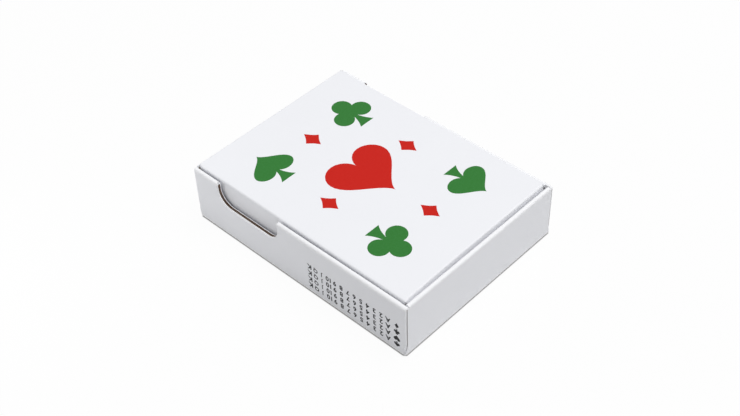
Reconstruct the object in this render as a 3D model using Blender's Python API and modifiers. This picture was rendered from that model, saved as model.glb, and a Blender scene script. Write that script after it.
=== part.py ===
"""Playing card deck: 52 cards in a folded board box with rolled walls and a tuck-in lid.

Frame: metres, +Z up, origin at the middle of the underside. The front wall, where the lid tucks in,
faces -Y, and the lid's fold is along the top of the back wall at +Y.
"""
import math

import bmesh
import bpy
from mathutils import Matrix, Vector

MM = 0.001

# Cards
CARD_WIDTH = 63.0 * MM
CARD_LENGTH = 88.0 * MM
CARD_THICKNESS = 0.33 * MM
CARD_CORNER_RADIUS = 3.2 * MM
CARD_AIR = 0.01 * MM
SUITS = ("spades", "diamonds", "clubs", "hearts")
NUMBERS = ("ace", "two", "three", "four", "five", "six", "seven", "eight", "nine", "ten")
RANKS = NUMBERS + ("jack", "queen", "king")

# Board of the box
BOARD = 0.65 * MM
PLY_GAP = 0.2 * MM
CREASE_RADIUS = 0.45 * MM
SEAM = 0.1 * MM
FOLD_LAND = 0.1 * MM
FOLD_GAP = 0.2 * MM

# Room around the deck and the lid
DECK_SEAT = 0.1 * MM
HEADROOM = 2.63 * MM
BACK_ROOM = 0.35 * MM
FRONT_ROOM = 1.0 * MM
SIDE_ROOM = 1.25 * MM
LID_SIDE_GAP = 0.6 * MM
LID_FRONT_GAP = 0.85 * MM
LID_PROUD = 0.4 * MM

# Lid flaps
LID_CORNER_RADIUS = 0.8 * MM
TUCK_DEPTH = 12.0 * MM
TUCK_END_GAP = 0.6 * MM
TUCK_CORNER_RADIUS = 7.0 * MM
TUCK_LEAN = math.radians(3.0)
EAR_DEPTH = 13.0 * MM
EAR_ROOT_GAP = 1.2 * MM
EAR_HEEL = 2.5 * MM
EAR_FRONT_GAP = 2.6 * MM
EAR_BACK_GAP = 4.0 * MM
EAR_BACK_TAPER = 13.0 * MM
EAR_CORNER_RADIUS = 5.0 * MM
EAR_LEAN = math.radians(3.0)

# Finger notch in each long wall, measured from the back of the box
NOTCH_FROM_BACK = 11.6 * MM
NOTCH_LENGTH = 27.2 * MM
NOTCH_DEPTH = 8.4 * MM
NOTCH_BACK_RADIUS = 5.5 * MM
NOTCH_FRONT_RADIUS = 4.0 * MM
NOTCH_LIP_RADIUS = 0.6 * MM

# Tabs that lock each rolled wall into slots in the floor, two to a wall
TAB_LENGTH = 14.0 * MM
TAB_FROM_END = 20.0 * MM

# Facets in a quarter turn
CORNER_STEPS = 4
ROLL_STEPS = 5
NOTCH_STEPS = 6

# Mesh clean-up: points closer than this are one, and faces flatter than this are one
WELD_DISTANCE = 0.0001 * MM
FLAT_ANGLE = math.radians(0.5)

# Sizes that follow from the ones above
WALL = 2 * BOARD + PLY_GAP
CARD_COUNT = len(SUITS) * len(RANKS)
CARD_PITCH = CARD_THICKNESS + CARD_AIR
DECK_HEIGHT = CARD_COUNT * CARD_PITCH - CARD_AIR
BOX_WIDTH = CARD_WIDTH + 2 * (SIDE_ROOM + BOARD + LID_SIDE_GAP + WALL)
BOX_LENGTH = CARD_LENGTH + BACK_ROOM + BOARD + FRONT_ROOM + BOARD + LID_FRONT_GAP + WALL
LID_TOP = BOARD + DECK_SEAT + DECK_HEIGHT + HEADROOM + BOARD
WALL_TOP = LID_TOP - LID_PROUD
SIDE_X = BOX_WIDTH / 2
BACK_Y = BOX_LENGTH / 2
FRONT_Y = -BACK_Y
LID_X = SIDE_X - WALL - LID_SIDE_GAP
LID_FRONT_Y = FRONT_Y + WALL + LID_FRONT_GAP
DECK_Y = BACK_Y - BOARD - BACK_ROOM - CARD_LENGTH / 2
PLY_X = SIDE_X - BOARD - SEAM
ROLL_X = SIDE_X - WALL - SEAM
ROLL_UNDERSIDE = WALL_TOP - WALL

# Finishes
WHITE_BOARD = (0.86, 0.87, 0.89, 1.0)
BOARD_ROUGHNESS = 0.45
CARD_STOCK = (0.90, 0.89, 0.86, 1.0)
STOCK_ROUGHNESS = 0.35


def clear_scene():
    """Remove every object, so that the script starts from nothing."""
    for item in list(bpy.data.objects):
        bpy.data.objects.remove(item, do_unlink=True)


def new_collection(name):
    group = bpy.data.collections.new(name)
    bpy.context.scene.collection.children.link(group)
    return group


def new_material(name, colour, roughness):
    material = bpy.data.materials.new(name)
    material.use_nodes = True
    shader = material.node_tree.nodes["Principled BSDF"]
    shader.inputs["Base Color"].default_value = colour
    shader.inputs["Roughness"].default_value = roughness
    shader.inputs["Metallic"].default_value = 0.0
    return material


def arc(centre, radius, start_degrees, end_degrees, steps):
    """Points along a circular arc, both ends included."""
    points = []
    for step in range(steps + 1):
        angle = math.radians(start_degrees + (end_degrees - start_degrees) * step / steps)
        points.append((centre[0] + radius * math.cos(angle), centre[1] + radius * math.sin(angle)))
    return points


def rounded_rectangle(low, high, radius, steps):
    """Outline of a rectangle with four round corners, counter-clockwise."""
    return (
        arc((high[0] - radius, low[1] + radius), radius, -90, 0, steps)
        + arc((high[0] - radius, high[1] - radius), radius, 0, 90, steps)
        + arc((low[0] + radius, high[1] - radius), radius, 90, 180, steps)
        + arc((low[0] + radius, low[1] + radius), radius, 180, 270, steps)
    )


def extruded_mesh(name, outline, thickness):
    """A flat outline in local XY, filled and extruded along local Z to both sides of its plane."""
    curve = bpy.data.curves.new(name, "CURVE")
    curve.dimensions = "2D"
    curve.fill_mode = "BOTH"
    curve.extrude = thickness / 2
    spline = curve.splines.new("POLY")
    spline.points.add(len(outline) - 1)
    for point, (x, y) in zip(spline.points, outline):
        point.co = (x, y, 0.0, 1.0)
    spline.use_cyclic_u = True
    holder = bpy.data.objects.new(name, curve)
    bpy.context.scene.collection.objects.link(holder)
    evaluated = holder.evaluated_get(bpy.context.evaluated_depsgraph_get())
    mesh = bpy.data.meshes.new_from_object(evaluated)
    bpy.data.objects.remove(holder, do_unlink=True)
    bpy.data.curves.remove(curve)
    welded = bmesh.new()
    welded.from_mesh(mesh)
    bmesh.ops.remove_doubles(welded, verts=welded.verts, dist=WELD_DISTANCE)
    bmesh.ops.dissolve_limit(welded, angle_limit=FLAT_ANGLE, verts=welded.verts, edges=welded.edges)
    bmesh.ops.recalc_face_normals(welded, faces=welded.faces)
    welded.to_mesh(mesh)
    welded.free()
    mesh.name = name
    return mesh


def turned_mesh(mesh, first_axis, second_axis, offset):
    """Stand an extruded outline up, with local X and Y along the two axes and local Z square to both."""
    first = Vector(first_axis)
    second = Vector(second_axis)
    turn = Matrix((first, second, first.cross(second))).transposed().to_4x4()
    mesh.transform(Matrix.Translation(offset) @ turn)
    return mesh


def add_piece(name, mesh, material, group, parent, location=(0.0, 0.0, 0.0), rotation=(0.0, 0.0, 0.0)):
    piece = bpy.data.objects.new(name, mesh)
    if not mesh.materials:
        mesh.materials.append(material)
    group.objects.link(piece)
    piece.parent = parent
    piece.location = location
    piece.rotation_euler = rotation
    return piece


def add_empty(name, group, parent, location):
    empty = bpy.data.objects.new(name, None)
    empty.empty_display_size = 10 * MM
    group.objects.link(empty)
    empty.parent = parent
    empty.location = location
    return empty


def add_cutter(name, mesh, group):
    cutter = bpy.data.objects.new(name, mesh)
    cutter.hide_render = True
    cutter.display_type = "WIRE"
    group.objects.link(cutter)
    return cutter


def box_cutter(name, low, high, group):
    """A box between two corners, as a cutter."""
    mesh = bpy.data.meshes.new(name)
    box = bmesh.new()
    bmesh.ops.create_cube(box, size=1.0)
    size = [high[i] - low[i] for i in range(3)]
    middle = [(high[i] + low[i]) / 2 for i in range(3)]
    bmesh.ops.scale(box, vec=size, verts=box.verts)
    bmesh.ops.translate(box, vec=middle, verts=box.verts)
    box.to_mesh(mesh)
    box.free()
    return add_cutter(name, mesh, group)


def cut(piece, cutters):
    for cutter in cutters:
        boolean = piece.modifiers.new(cutter.name, "BOOLEAN")
        boolean.operation = "DIFFERENCE"
        boolean.object = cutter


def fold_bevel(piece, is_fold_edge):
    """Cut the inner edge of a fold to 45 degrees, so that two panels meet in a mitre at the crease."""
    mesh = piece.data
    weights = mesh.attributes.new("bevel_weight_edge", "FLOAT", "EDGE")
    for edge in mesh.edges:
        ends = [mesh.vertices[index].co for index in edge.vertices]
        weights.data[edge.index].value = 1.0 if is_fold_edge(*ends) else 0.0
    bevel = piece.modifiers.new("fold mitre", "BEVEL")
    bevel.limit_method = "WEIGHT"
    bevel.width = BOARD - FOLD_LAND
    bevel.segments = 1
    bevel.use_clamp_overlap = False


def near(value, target):
    """Whether two lengths are the same, to well under the thickness of the board."""
    return abs(value - target) < BOARD / 50


def rolled_wall_profile():
    """Section of a wall that is rolled over: outer ply, round top, and inner ply down to its tabs.

    The section's first coordinate runs into the box from the outer face at 0, its second one is height.
    """
    roll_centre = (WALL / 2, WALL_TOP - WALL / 2)
    profile = arc((CREASE_RADIUS, CREASE_RADIUS), CREASE_RADIUS, 270, 180, CORNER_STEPS)
    profile += arc(roll_centre, WALL / 2, 180, 0, 2 * ROLL_STEPS)
    profile += [(WALL, SEAM), (WALL - BOARD, SEAM)]
    profile += arc(roll_centre, PLY_GAP / 2, 0, 180, ROLL_STEPS)
    profile += [(BOARD, 0.0)]
    return profile


def tab_spans(half_length):
    """Where the two tabs of a wall start and end along it."""
    middle = half_length - TAB_FROM_END
    return [(side * middle - TAB_LENGTH / 2, side * middle + TAB_LENGTH / 2) for side in (-1, 1)]


def between_tabs(half_length):
    """The stretches of a wall's inner ply that stand on the floor."""
    first, second = tab_spans(half_length)
    past_end = half_length + WALL
    return [(-past_end, first[0]), (first[1], second[0]), (second[1], past_end)]


def notch_outline():
    """Opening of the finger notch, seen from the side: length along Y, then height."""
    over = WALL_TOP + WALL
    floor = WALL_TOP - NOTCH_DEPTH
    back = BACK_Y - NOTCH_FROM_BACK
    front = back - NOTCH_LENGTH
    lip = WALL_TOP - NOTCH_LIP_RADIUS
    outline = [(front - NOTCH_LIP_RADIUS, over)]
    outline += arc((front - NOTCH_LIP_RADIUS, lip), NOTCH_LIP_RADIUS, 90, 0, CORNER_STEPS)
    front_centre = (front + NOTCH_FRONT_RADIUS, floor + NOTCH_FRONT_RADIUS)
    outline += arc(front_centre, NOTCH_FRONT_RADIUS, 180, 270, NOTCH_STEPS)
    back_centre = (back - NOTCH_BACK_RADIUS, floor + NOTCH_BACK_RADIUS)
    outline += arc(back_centre, NOTCH_BACK_RADIUS, 270, 360, NOTCH_STEPS)
    outline += arc((back + NOTCH_LIP_RADIUS, lip), NOTCH_LIP_RADIUS, 180, 90, CORNER_STEPS)
    outline += [(back + NOTCH_LIP_RADIUS, over)]
    return outline


def make_floor_and_back(material, parts, cutters, root):
    """Floor panel and single back wall in one fold, with the mitre of the lid's crease along its top."""
    floor_front = FRONT_Y + BOARD + SEAM
    crease = (BACK_Y - CREASE_RADIUS, CREASE_RADIUS)
    land = LID_TOP - FOLD_LAND - FOLD_GAP
    profile = [(floor_front, 0.0)]
    profile += arc(crease, CREASE_RADIUS, 270, 360, CORNER_STEPS)
    profile += [(BACK_Y, land), (BACK_Y - FOLD_LAND, land), (BACK_Y - BOARD, land - BOARD + FOLD_LAND)]
    profile += [(BACK_Y - BOARD, BOARD), (floor_front, BOARD)]
    mesh = turned_mesh(extruded_mesh("floor_and_back", profile, 2 * PLY_X), (0, 1, 0), (0, 0, 1), (0, 0, 0))
    piece = add_piece("floor_and_back", mesh, material, parts, root)
    for side, name in ((-1, "left"), (1, "right")):
        edges = sorted((side * ROLL_X, side * (SIDE_X + WALL)))
        low = (edges[0], BACK_Y - WALL, ROLL_UNDERSIDE - SEAM)
        high = (edges[1], BACK_Y + WALL, WALL_TOP + WALL)
        cut(piece, [box_cutter("back " + name + " corner cut", low, high, cutters)])
        for start, end in tab_spans(BACK_Y):
            low = (edges[0], start - SEAM, -WALL)
            high = (edges[1], end + SEAM, WALL)
            cut(piece, [box_cutter(name + " wall slot", low, high, cutters)])
    for start, end in tab_spans(SIDE_X):
        low = (start - SEAM, FRONT_Y, -WALL)
        high = (end + SEAM, FRONT_Y + WALL + SEAM, WALL)
        cut(piece, [box_cutter("front wall slot", low, high, cutters)])
    return piece


def make_long_wall(name, side, material, parts, cutters, root):
    """Rolled long wall with its finger notch, and with the inner ply stopped short of the end walls."""
    mesh = extruded_mesh(name, rolled_wall_profile(), BOX_LENGTH)
    turned_mesh(mesh, (-side, 0, 0), (0, 0, 1), (side * SIDE_X, 0, 0))
    piece = add_piece(name, mesh, material, parts, root)
    notch = extruded_mesh(name + " notch", notch_outline(), 3 * WALL)
    turned_mesh(notch, (0, 1, 0), (0, 0, 1), (side * (SIDE_X - WALL / 2), 0, 0))
    inner = sorted((side * (SIDE_X - WALL / 2), side * (SIDE_X - 2 * WALL)))
    front_low = (inner[0], FRONT_Y - WALL, -WALL)
    front_high = (inner[1], FRONT_Y + WALL + SEAM, ROLL_UNDERSIDE)
    back_low = (inner[0], BACK_Y - BOARD - SEAM, -WALL)
    back_high = (inner[1], BACK_Y + WALL, ROLL_UNDERSIDE)
    cut(piece, [
        add_cutter(name + " notch", notch, cutters),
        box_cutter(name + " front end", front_low, front_high, cutters),
        box_cutter(name + " back end", back_low, back_high, cutters),
    ])
    for start, end in between_tabs(BACK_Y):
        low = (inner[0], start, -WALL)
        high = (inner[1], end, BOARD + SEAM)
        cut(piece, [box_cutter(name + " foot", low, high, cutters)])
    return piece


def make_front_wall(material, parts, cutters, root):
    """Rolled front wall, with its roll stopped between the rolls of the long walls."""
    mesh = extruded_mesh("front_wall", rolled_wall_profile(), 2 * PLY_X)
    turned_mesh(mesh, (0, 1, 0), (0, 0, 1), (0, FRONT_Y, 0))
    piece = add_piece("front_wall", mesh, material, parts, root)
    for side, name in ((-1, "left"), (1, "right")):
        edges = sorted((side * ROLL_X, side * (SIDE_X + WALL)))
        low = (edges[0], FRONT_Y - WALL, ROLL_UNDERSIDE - SEAM)
        high = (edges[1], FRONT_Y + 2 * WALL, WALL_TOP + WALL)
        cut(piece, [box_cutter("front " + name + " corner cut", low, high, cutters)])
    for start, end in between_tabs(SIDE_X):
        low = (start, FRONT_Y + WALL / 2, -WALL)
        high = (end, FRONT_Y + 2 * WALL, BOARD + SEAM)
        cut(piece, [box_cutter("front_wall foot", low, high, cutters)])
    return piece


def make_lid_panel(material, parts, hinge):
    """Lid panel between its creases, modelled from the crease at the back, which is the local origin."""
    reach = BACK_Y - LID_FRONT_Y
    radius = LID_CORNER_RADIUS
    outline = [(LID_X, 0.0), (-LID_X, 0.0)]
    outline += arc((-LID_X + radius, -reach + radius), radius, 180, 270, CORNER_STEPS)
    outline += arc((LID_X - radius, -reach + radius), radius, 270, 360, CORNER_STEPS)
    mesh = extruded_mesh("lid_panel", outline, BOARD)
    mesh.transform(Matrix.Translation((0, 0, -BOARD / 2)))
    piece = add_piece("lid_panel", mesh, material, parts, hinge)
    fold_bevel(piece, lambda *ends: all(near(end.z, -BOARD) for end in ends))
    return piece


def make_tuck_flap(material, parts, crease):
    """Flap that goes down inside the front wall, hung from its crease and leaning in a little."""
    top = -2 * FOLD_LAND - FOLD_GAP
    half = LID_X - TUCK_END_GAP
    radius = TUCK_CORNER_RADIUS
    outline = [(half, top), (-half, top)]
    outline += arc((-half + radius, -TUCK_DEPTH + radius), radius, 180, 270, NOTCH_STEPS)
    outline += arc((half - radius, -TUCK_DEPTH + radius), radius, 270, 360, NOTCH_STEPS)
    mesh = extruded_mesh("tuck_flap", outline, BOARD)
    turned_mesh(mesh, (1, 0, 0), (0, 0, 1), (0, BOARD / 2, 0))
    piece = add_piece("tuck_flap", mesh, material, parts, crease, rotation=(TUCK_LEAN, 0, 0))
    fold_bevel(piece, lambda *ends: all(near(end.z, top) and near(end.y, BOARD) for end in ends))
    return piece


def make_ear(name, side, material, parts, crease):
    """Side flap of the lid, nearly as long as the lid at its crease and tapered to swing clear of the walls."""
    top = -2 * FOLD_LAND - FOLD_GAP
    back = BACK_Y - EAR_BACK_GAP
    front = LID_FRONT_Y + EAR_FRONT_GAP
    radius = EAR_CORNER_RADIUS
    outline = [(LID_FRONT_Y + EAR_ROOT_GAP, top), (front, -EAR_HEEL)]
    outline += arc((front + radius, -EAR_DEPTH + radius), radius, 180, 270, NOTCH_STEPS)
    outline += [(back - EAR_BACK_TAPER, -EAR_DEPTH), (back, -EAR_HEEL), (BACK_Y - EAR_ROOT_GAP, top)]
    mesh = extruded_mesh(name, outline, BOARD)
    inner = -side * BOARD
    turned_mesh(mesh, (0, 1, 0), (0, 0, 1), (inner / 2, 0, 0))
    piece = add_piece(name, mesh, material, parts, crease, rotation=(0, side * EAR_LEAN, 0))
    fold_bevel(piece, lambda *ends: all(near(end.z, top) and near(end.x, inner) for end in ends))
    return piece


def make_cards(material, parts, deck):
    """Fifty-two cards, one object each on one shared mesh, stacked from the last card up to the first."""
    low = (-CARD_WIDTH / 2, -CARD_LENGTH / 2)
    high = (CARD_WIDTH / 2, CARD_LENGTH / 2)
    outline = rounded_rectangle(low, high, CARD_CORNER_RADIUS, CORNER_STEPS)
    mesh = extruded_mesh("card", outline, CARD_THICKNESS)
    for number in range(CARD_COUNT):
        suit, rank = divmod(number, len(RANKS))
        name = RANKS[rank] + "_of_" + SUITS[suit]
        height = CARD_THICKNESS / 2 + (CARD_COUNT - 1 - number) * CARD_PITCH
        add_piece(name, mesh, material, parts, deck, location=(0, 0, height))


def main():
    clear_scene()
    parts = new_collection("playing card deck")
    cutters = new_collection("cutters")
    board = new_material("white coated board", WHITE_BOARD, BOARD_ROUGHNESS)
    stock = new_material("card stock", CARD_STOCK, STOCK_ROUGHNESS)

    box = add_empty("box", parts, None, (0, 0, 0))
    make_floor_and_back(board, parts, cutters, box)
    make_long_wall("left_wall", -1, board, parts, cutters, box)
    make_long_wall("right_wall", 1, board, parts, cutters, box)
    make_front_wall(board, parts, cutters, box)

    lid_crease = add_empty("lid crease", parts, box, (0, BACK_Y, LID_TOP))
    tuck_crease = add_empty("tuck crease", parts, lid_crease, (0, LID_FRONT_Y - BACK_Y, 0))
    left_crease = add_empty("left ear crease", parts, lid_crease, (-LID_X, -BACK_Y, 0))
    right_crease = add_empty("right ear crease", parts, lid_crease, (LID_X, -BACK_Y, 0))
    make_lid_panel(board, parts, lid_crease)
    make_tuck_flap(board, parts, tuck_crease)
    make_ear("left_ear", -1, board, parts, left_crease)
    make_ear("right_ear", 1, board, parts, right_crease)

    deck = add_empty("deck", parts, box, (0, DECK_Y, BOARD + DECK_SEAT))
    make_cards(stock, parts, deck)
    bpy.context.view_layer.update()


main()
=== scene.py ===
"""Looks of a playing card deck in a folded board box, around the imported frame.

Frame: metres, +Z up, origin at the middle of the underside. The lid tucks in at -Y and hangs on the fold at
+Y. Each panel of the box is cut flat, as in the real blank, and then bent along the path of its folds.
"""
import math

import bmesh
import bpy
from mathutils import Matrix, Vector, geometry


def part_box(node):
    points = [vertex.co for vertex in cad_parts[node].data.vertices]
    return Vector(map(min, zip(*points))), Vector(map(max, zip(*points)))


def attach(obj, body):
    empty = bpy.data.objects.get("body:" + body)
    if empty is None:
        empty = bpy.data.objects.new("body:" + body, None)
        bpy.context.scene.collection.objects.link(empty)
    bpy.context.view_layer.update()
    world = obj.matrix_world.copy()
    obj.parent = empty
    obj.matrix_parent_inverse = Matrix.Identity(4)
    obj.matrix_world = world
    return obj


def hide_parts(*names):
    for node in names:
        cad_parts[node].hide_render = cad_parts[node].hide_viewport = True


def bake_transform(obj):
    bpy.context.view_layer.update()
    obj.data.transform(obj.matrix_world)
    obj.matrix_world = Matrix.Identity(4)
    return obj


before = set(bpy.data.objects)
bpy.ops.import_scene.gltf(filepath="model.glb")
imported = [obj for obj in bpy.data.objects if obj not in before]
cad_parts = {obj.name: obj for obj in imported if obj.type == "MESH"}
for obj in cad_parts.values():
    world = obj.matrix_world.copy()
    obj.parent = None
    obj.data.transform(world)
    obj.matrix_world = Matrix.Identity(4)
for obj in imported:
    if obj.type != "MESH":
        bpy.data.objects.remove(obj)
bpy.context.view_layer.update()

MM = 0.001

# Sizes read from the frame
WALL_LOW, WALL_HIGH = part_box("left_wall")
LID_LOW, LID_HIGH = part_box("lid_panel")
FLOOR_LOW, FLOOR_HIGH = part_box("floor_and_back")
SIDE_X = -WALL_LOW.x
FRONT_Y = WALL_LOW.y
BACK_Y = WALL_HIGH.y
TOP_Z = WALL_HIGH.z
LID_TOP = LID_HIGH.z
WALL = WALL_HIGH.x - WALL_LOW.x
BOARD = LID_HIGH.z - LID_LOW.z
FLOOR_X = FLOOR_HIGH.x
FLOOR_FRONT_Y = FLOOR_LOW.y

# The springy lid reaches a little closer to the walls than its solid
LID_X = LID_HIGH.x + 0.25 * MM
LID_FRONT_Y = LID_LOW.y - 0.29 * MM

# Folds of the board, on its middle line, and gaps between its edges
FOLD_RADIUS = 0.335 * MM
LID_FOLD_RADIUS = 0.4 * MM
ROLL_RADIUS = (WALL - BOARD) / 2
FOLD_EDGE = 0.7 * MM
SEAM = 0.1 * MM
ROLL_SEAM = 0.02 * MM
ROLL_X = SIDE_X - WALL - SEAM

# Ends of the walls, and how far the box is out of true
CORNER_ROUND = 0.5 * MM
CORNER_ROUND_ANGLES = (22.5, 45.0, 67.5, 90.0)
CORNER_GAP = 0.4 * MM
CORNER_TRIM = 0.7 * MM
CORNER_SLANT = 3.5 * MM
CORNER_DIP = 0.12 * MM
CORNER_DIP_REACH = 0.9 * MM
CORNER_DIP_SHARES = (1.0, 0.7, 0.45, 0.2)
CORNER_DIP_FOOT = 2 * BOARD
RIGHT_WALL_DROP = 0.3 * MM
FRONT_WALL_DROP = 0.3 * MM
LEFT_ROLL_SPREAD = 0.33 * MM
ROLL_SPREAD_DEPTH = 8.0 * MM

# Lid and its flaps; the lid lies a little to the right between the walls
LID_SHIFT = 0.3 * MM
LID_SKEW = 0.35 * MM
LID_SKEW_REACH = 10.0 * MM
LID_CORNER_RADIUS = 0.25 * MM
TUCK_END_GAP = 0.85 * MM
EAR_FRONT_GAP = 0.3 * MM
EAR_BACK_GAP = 0.8 * MM
TUCK_DEPTH = 12.0 * MM
TUCK_CORNER_RADIUS = 7.0 * MM
TUCK_FOLD = 80.0
TUCK_SLOPE = 1.6 * MM
TUCK_LEAN = 3.0
EAR_DEPTH = 13.0 * MM
EAR_CORNER_RADIUS = 5.0 * MM
EAR_HEEL = 2.5 * MM
EAR_FRONT_STEP = 2.6 * MM
EAR_BACK_STEP = 3.0 * MM
EAR_ROOT = 1.8 * MM
EAR_BACK_TAPER = 13.0 * MM
LEFT_EAR_LEAN = 0.0
RIGHT_EAR_LEAN = 3.0

# Finger notch in each long wall
NOTCH_FROM_BACK = 11.6 * MM
NOTCH_LENGTH = 27.2 * MM
NOTCH_DEPTH = 8.1 * MM
NOTCH_BACK_RADIUS = 5.5 * MM
NOTCH_FRONT_RADIUS = 4.0 * MM
NOTCH_LIP_RADIUS = 0.6 * MM
NOTCH_LIP_STEPS = 8
RIM_WIDTH = 0.42 * MM
RIM_CLEAR = 0.9 * RIM_WIDTH
RIM_DROP = 0.4 * MM

# Tabs that lock the rolled walls into the floor
TAB_LENGTH = 14.0 * MM
TAB_FROM_END = 20.0 * MM

# How white the folds are, from 0 to 1, as rubbed coat and painted highlight, and how far the panels belly out
# between them
FOOT_WEAR_AND_HIGHLIGHT = 1.0
ROLL_WEAR_AND_HIGHLIGHT = 0.55
LID_FOLD_WHITENING = 0.05
LID_BULGE = 0.1 * MM
WALL_BULGE = 0.1 * MM

# Spacing of points on flat board, degrees between points on a fold, and least gaps between points
GRID = 2.5 * MM
FOLD_STEP = 12.0
POINT_GAP = 0.04 * MM
SAME_POINT = POINT_GAP / 10
FILL_MERGE = POINT_GAP / 1000
SMOOTH_ANGLE = math.radians(32.0)

# Board and ink as materials: sizes of their patterns, depths in the board and roughness
BOARD_CLOUD = 9.0 * MM
BOARD_FIBRE = 0.22 * MM
BOARD_GRAIN = 0.5 * MM
LINER_DEPTH = 0.3 * MM
PLY_GAP_SHADE_DEPTH = 0.7 * BOARD
REVERSE_DEPTH = 0.995 * BOARD
COAT_ROUGHNESS = 0.42
PULP_ROUGHNESS = 0.9
INK_MOTTLE = 0.6 * MM

# Ink films and the prints on the box
FILM = 0.006 * MM
FILM_SUNK = 0.003 * MM
LID_HEART = 23.0 * MM
LID_SUIT = 15.5 * MM
LID_DIAMOND = 8.0 * MM
LID_PRINT_X = 18.5 * MM
LID_PRINT_Y = 26.0 * MM
LINE_CAP = 2.05 * MM
LINE_PITCH = 2.75 * MM
LINE_STEP = 2.75 * MM
FIRST_RANK_STEPS = 1.3
LINE_SUIT = 1.15 * LINE_CAP
FIRST_LINE_Z = 3.5 * MM
LINE_START_Y = FRONT_Y + 3.4 * MM

# Stamps of the prints, of height 1
MARK_REACH = 0.6
MARK_GRID = 0.1
MARK_MERGE = 0.0001
GLYPH_MERGE = 0.0005
GLYPH_HALF = 0.5
RANK_BOLDNESS = 0.01
LINE_BOLDNESS = 0.035
HEART_WAVES = (13.0, -5.0, -2.0, -1.0)
HEART_HALF_WIDTH = 16.0
HEART_LIFT = 2.5
HEART_HEIGHT = 29.0
DIAMOND_HALF_WIDTH = 0.38
DIAMOND_HOLLOW = 0.1
STEM_HALF_WIDTH = 0.035
STEM_HALF_FOOT = 0.2
STEM_FLARE = 2.5
SPADE_WIDTH = 0.92
SPADE_HEIGHT = 0.76
SPADE_LIFT = 0.12
CLUB_LOBES = ((0.0, 0.27), (-0.26, -0.06), (0.26, -0.06))
CLUB_LOBE_RADIUS = 0.232
CLUB_MIDDLE_Y = 0.06
CLUB_MIDDLE_RADIUS = 0.14

# Cards: their names and finish, and where their pips, letters and back pattern are
SUITS = ("spades", "hearts", "clubs", "diamonds")
RED_SUITS = ("hearts", "diamonds")
RANKS = ("A", "2", "3", "4", "5", "6", "7", "8", "9", "10", "J", "Q", "K")
NUMBER_NAMES = ("ace", "two", "three", "four", "five", "six", "seven", "eight", "nine", "ten")
RANK_NAMES = NUMBER_NAMES + ("jack", "queen", "king")
SIDE_ROWS = {4: 2, 5: 2, 6: 3, 7: 3, 8: 3, 9: 4, 10: 4}
CENTRE_ROWS = {
    1: (0,), 2: (1, -1), 3: (1, 0, -1), 5: (0,), 7: (0.5,), 8: (0.5, -0.5), 9: (0,), 10: (2 / 3, -2 / 3),
}
CARD_CORNER_RADIUS = 3.2 * MM
PIP_COLUMN = 13.5 * MM
PIP_REACH = 27.0 * MM
PIP_SIZE = 11.5 * MM
ACE_SIZE = 27.0 * MM
INDEX_X = 26.6 * MM
INDEX_Y = 37.6 * MM
INDEX_CAP = 6.4 * MM
INDEX_PIP_Y = 29.6 * MM
INDEX_PIP = 5.0 * MM
COURT_CAP = 21.0 * MM
COURT_PIP_X = 13.0 * MM
COURT_PIP_Y = 23.0 * MM
CARD_PRINT_X = 28.0 * MM
CARD_PRINT_Y = 40.5 * MM
CARD_ROUGHNESS = 0.36
CARD_CLOUD = 7.0 * MM
CARD_DIMPLE = 0.45 * MM
LATTICE_ANGLE = math.radians(35.0)
LATTICE_STEP = 2.4 * MM
LATTICE_LINE = 0.93
WAVE_LENGTH_AT_SCALE_ONE = 2 * math.pi / 20

# Floor, with the shadow line where the box meets it, and the even light from all round
FLOOR_SIZE = 6.0
FLOOR_DROP = 0.02 * MM
FLOOR_GLOW = 0.95
CONTACT_REACH = 0.5 * MM
CONTACT_SAMPLES = 16
CONTACT_POWER = 2.0
SURROUND_LIGHT = 0.38
WHITE = (1.0, 1.0, 1.0, 1.0)

# Camera, from the vanishing lines of the box's edges
CAMERA_AZIMUTH = math.radians(-45.54)
CAMERA_ELEVATION = math.radians(43.68)
CAMERA_ROLL = math.radians(-2.09)
CAMERA_DISTANCE = 415.5 * MM
CAMERA_SIDE = -0.91 * MM
CAMERA_RISE = 5.26 * MM
CAMERA_CLIP = 10.0 * MM
SENSOR_WIDTH = 36.0
LENS = 60.37


def fold_reach(degrees, radius):
    """Length from the sharp corner of a fold of the lid to where its round starts, on the coated face."""
    return (radius + BOARD / 2) * math.tan(math.radians(degrees / 2))


# Where the lid panel ends and its creases start
BACK_REACH = fold_reach(90, LID_FOLD_RADIUS)
TUCK_REACH = FOLD_RADIUS + BOARD / 2 + TUCK_SLOPE * math.cos(math.radians(TUCK_FOLD))
LEFT_EAR_REACH = fold_reach(90 + LEFT_EAR_LEAN, FOLD_RADIUS)
RIGHT_EAR_REACH = fold_reach(90 + RIGHT_EAR_LEAN, FOLD_RADIUS)
TUCK_X = LID_X - TUCK_END_GAP
EAR_FRONT_Y = LID_FRONT_Y + EAR_FRONT_GAP
EAR_BACK_Y = BACK_Y - EAR_BACK_GAP
LID_MIDDLE_Y = (BACK_Y + LID_FRONT_Y) / 2


# Node trees


def linear(colour):
    """An sRGB hex colour such as F0F1F4 as a linear RGBA tuple."""
    channels = [int(colour[i:i + 2], 16) / 255 for i in (0, 2, 4)]
    return tuple(c / 12.92 if c <= 0.04045 else ((c + 0.055) / 1.055) ** 2.4 for c in channels) + (1.0,)


def add_node(tree, kind, inputs=None, **settings):
    """A node with its settings, and with each input set to a value or linked to another node.

    The link comes from the output that is given, or from the first output in use where a node is given.
    """
    node = tree.nodes.new(kind)
    for name, value in settings.items():
        setattr(node, name, value)
    for socket, value in (inputs or {}).items():
        if isinstance(value, bpy.types.Node):
            value = next(output for output in value.outputs if output.enabled)
        if isinstance(value, bpy.types.NodeSocket):
            tree.links.new(value, node.inputs[socket])
        else:
            node.inputs[socket].default_value = value
    return node


def new_material(name):
    """An empty material and its tree."""
    material = bpy.data.materials.new(name)
    material.use_nodes = True
    material.node_tree.nodes.clear()
    return material, material.node_tree


# Materials


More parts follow.
